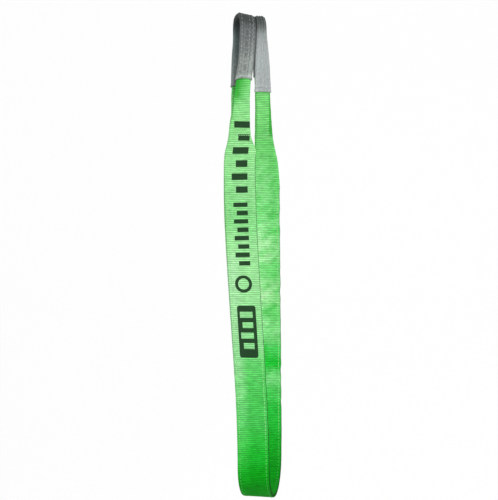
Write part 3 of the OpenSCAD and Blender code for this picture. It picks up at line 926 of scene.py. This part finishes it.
steps = np.arange(CROSS_PITCH / 2 - ROW_HALF, ROW_HALF, CROSS_PITCH)
for side in (-1, 1):
    piece = joined(f"{side_name[side]}_throat_thread", [
        stitches("row", side, row_across(side, ply, ROW_FALL + ROW_PITCH * i), steps, 0.0,
                 long=CROSS_STITCH, wide=0.0012)
        for ply in (1, -1) for i in range(3)])
    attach(piece, f"{side_name[side]}_leg")
    stand_in(piece, green_thread, "green_thread", f"{side_name[side]}_throat_stitching")


# ---- Sleeves ----
# Each eye wears a flat tube of grey woven polyester that takes the wear of the hook. It is
# longer on one strap than on the other, its ends are turned in and hemmed, and it is closed
# by a seam along the outer face.
SLEEVE_T, SLEEVE_R = 0.0012, 0.0227
SLEEVE_STEP = 0.00335                # of the folded strap's middle, at the throat
SLEEVE_REACH = {-1: (0.10828, 0.096), 1: (0.08528, 0.119)}   # down the rear and front straps
HEM_H, HEM_L, HEM_STEP = 0.0006, 0.0050, 0.0012   # how far a hem stands proud, its length, its step
END_DROOP = {-1: (0.0024, 0.0056), 1: (-0.0010, 0.0000)}   # of the front end: middle, edges
DROOP_IN = 0.03                      # the last stretch of the sleeve, over which it droops
FOLD_GAP, SLEEVE_GAP = 0.0004, 0.0003    # between the folded layers, and round them
SEAM_ENDS, SEAM_ROWS = 0.003, (-0.0128, 0.0030)    # clear of the ends, and places across
ZIGZAG_V, ZIGZAG_PITCH, ZIGZAG_STITCH = 0.0098, 0.0042, 0.0050
sleeve_depth = 2 * WEB_T + FOLD_GAP + 2 * (SLEEVE_GAP + SLEEVE_T)


def sleeve_tube(side, grow, along):
    """Grid of points of a flat tube round the strap, and the distance round it: an oval of two
    straight faces and two half-round edges, grow larger all round than the strap needs. Its
    front end droops by END_DROOP along the strap."""
    half_d = (sleeve_depth / 2 - SLEEVE_T + grow)[:, None]
    half_w = EYE_W / 2 + 0 * half_d - sleeve_depth / 2
    bend = np.linspace(-np.pi / 2, np.pi / 2, 9)
    face = np.linspace(1, -1, 29)[1:-1]
    curve, level = np.cos(bend), np.zeros_like(face)
    a = np.concatenate([half_w + half_d * curve, half_w * face, -half_w - half_d * curve,
                        -half_w * face], 1)
    n = half_d * np.concatenate([np.sin(bend), level + 1, -np.sin(bend), level - 1])
    middle, edges = END_DROOP[side]
    droop = middle + (edges - middle) * (a / np.abs(a).max())**2
    droop = droop * ease(1 - (along[-1] - along) / DROOP_IN)[:, None]
    middle, outward, across = round_the_bar(side, along[:, None] + droop, SLEEVE_R, SLEEVE_STEP)
    points = middle + a[..., None] * across + n[..., None] * outward
    steps = np.hypot(np.diff(a[0]), np.diff(n[0]))
    return settled(points, side), np.concatenate([[0], np.cumsum(steps)])


def sleeve(name, side, rows=260):
    """The closed tubular sheet: outer wall, inner wall and a hem at each end, where the turned-in
    cloth stands HEM_H proud for HEM_L. UV is millimetres (from the crest, round the tube).
    Returns it with its length and the distance at which it starts."""
    tilt, strap, arch = eye_loop(side, SLEEVE_R, SLEEVE_STEP)
    low, high = strap - SLEEVE_REACH[side][0], strap + arch + SLEEVE_REACH[side][1]
    along = np.linspace(low, high, rows)
    hem = HEM_H * ease((HEM_L - np.minimum(along - low, high - along)) / HEM_STEP)
    outer, around = sleeve_tube(side, SLEEVE_T + hem, along)
    inner = sleeve_tube(side, 0 * along, along)[0]
    from_crest = along[:, None] - strap - arch / 2
    uv = np.stack(np.broadcast_arrays(from_crest * 1000, around * 1000), -1)
    return shell(name, outer, inner, uv, tube=True), high - low, low


# Sleeve cloth: fine round yarns over and under, SLEEVE_YARN apart, with a wale of thicker
# warp every WALE. Height is high on the yarns, Shade is dark between them, Streak runs along
# the warp, and Mottle is the uneven dirt of a used sleeve.
SLEEVE_YARN, WALE = 1.1, 2.9         # millimetres
sleeve_cloth, result, along, around = effect("sleeve_cloth", ["Height", "Shade", "Streak", "Mottle"])
waves = [calc("SINE", x / SLEEVE_YARN * np.pi) for x in (along, around)]
height = (waves[0] * waves[1] * 0.5 + 0.5) * 0.5 + ridges(around / WALE, 1.0) * 0.5
feed(result, {"Height": height, "Shade": height * 0.34 + 0.72,
              "Streak": cloud(along * 0.045, around * 0.9, 3.0, dimensions="3D"),
              "Mottle": cloud(along * 0.20, around * 0.26, 5.0, dimensions="3D")})

SHADED_EDGE, SHADED_EDGE_HALF = 7.4, 5.0      # millimetres round to the middle of a rounded edge of the sleeve, where shade is painted, and half its width
FRAME = 21.0                         # millimetres from one woven frame to the next


def sleeve_material(name, stops, streaks, mottle, hems, strip, framed=0.0):
    """Grey polyester sleeve: colour along it, the sleeve cloth, painted shade on one rounded edge,
    soiling in streaks and patches that swing the tone by the shares streaks and mottle, a pale
    sewn line with a painted shadow beside it at each of hems, a lighter strip (low, high, soft,
    gain) round it, which on the rear sleeve is painted light on its shaded left edge, and a row
    of plain woven frames of the strength framed."""
    material, tree = fabric(name, gloss=0.3, sheen=0.1)
    along, around, height, shade, streak, patch = woven(tree, sleeve_cloth)
    grey = colour_along(along, stops)
    # Painted shade on the rounded edge of the sleeve where the way round starts.
    from_shaded_edge = (around - SHADED_EDGE) / SHADED_EDGE_HALF
    tone = shade * (1.0 - clamped(1.0 - from_shaded_edge * from_shaded_edge) * 0.25)
    tone = tone * ((streak - 0.5) * streaks + 1.0) * ((patch - 0.5) * mottle + 1.0)
    for hem, way in zip(hems, (-1, 1)):
        beside = hem + way * 3.6
        tone = tone + (between(along, hem - 1.2, hem + 1.2, 0.6) * 0.22
                       - between(along, beside - 0.8, beside + 0.8, 0.6) * 0.14)
    # A lighter strip round the sleeve: on the rear sleeve it is painted light on the left rounded
    # edge, which lies in shade.
    low, high, soft, gain = strip
    fade = clamped((along - 55.0) / 30.0)
    tone = tone * (between(around, low, high, soft) * (fade * gain) + 1.0)
    if framed:
        cell = calc("FRACT", along / FRAME) * FRAME
        outer, inner = [between(cell, 2.0 + inset, 18.5 - inset, 0.8)
                        * between(around, 25.0 + inset, 37.0 - inset, 0.8) for inset in (0.0, 2.6)]
        row = between(along, 2 * FRAME, 6 * FRAME, 1.0) * framed
        tone = tone * ((outer - inner * 1.7) * row + 1.0)
    dress(tree, mixed(tree, grey, tone, 1.0, "MULTIPLY"), height, 0.8, 0.0005, streak * 0.2 + 0.72)
    return material


sleeve_grey = {
    -1: sleeve_material("sleeve_grey_front", [
        (-140, 130, 138, 136), (-60, 104, 120, 118), (-14, 44, 50, 47), (8, 40, 46, 44),
        (20, 46, 52, 50), (30, 58, 63, 61), (40, 86, 90, 90), (52, 98, 103, 102),
        (84, 110, 116, 114), (104, 130, 137, 133), (122, 128, 136, 131), (128, 146, 154, 149),
    ], 0.7, 1.3, (-142.0, 129.3), (15.0, 22.5, 1.0, 0.36), 0.24),
    1: sleeve_material("sleeve_grey_rear", [
        (-140, 160, 166, 166), (-50, 140, 146, 144), (-8, 56, 64, 62), (8, 50, 58, 56),
        (20, 64, 71, 69), (28, 76, 83, 81), (35, 100, 107, 105), (42, 130, 137, 135),
        (50, 150, 157, 155), (62, 162, 168, 167), (90, 164, 171, 171), (160, 162, 168, 168),
    ], 0.4, 1.0, (-112.0, 145.5), (38.0, 51.0, 3.0, 0.45)),
}
grey_thread = thread_material("thread_grey", [
    (-0.20, 186, 192, 190), (-0.06, 184, 190, 188), (-0.02, 168, 173, 172), (0.012, 140, 146, 144),
    (0.03, 104, 110, 108),
])

for side in (-1, 1):
    name, eye = side_name[side], f"{side_name[side]}_eye"
    piece, length, low = sleeve(name + "_sleeve", side)
    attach(piece, eye)
    stand_in(piece, sleeve_grey[side], "grey_sleeve", eye + "_sleeve")
    course = lambda d: round_the_bar(side, d, SLEEVE_R, SLEEVE_STEP)
    first, run, face = low + SEAM_ENDS, length - 2 * SEAM_ENDS, sleeve_depth / 2
    zigzag = first + (np.arange(int(run / ZIGZAG_PITCH)) + 0.5) * ZIGZAG_PITCH
    seam = joined(name + "_sleeve_stitches", [
        stitches("row", side, course, first + seam_centres(run), SEAM_ROWS, face=face, wide=0.0013),
        stitches("row", side, course, zigzag, ZIGZAG_V, long=ZIGZAG_STITCH, slant=0.8, face=face,
                 wide=0.0015)])
    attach(seam, eye)
    stand_in(seam, grey_thread, "grey_thread", name + "_sleeve_seam")
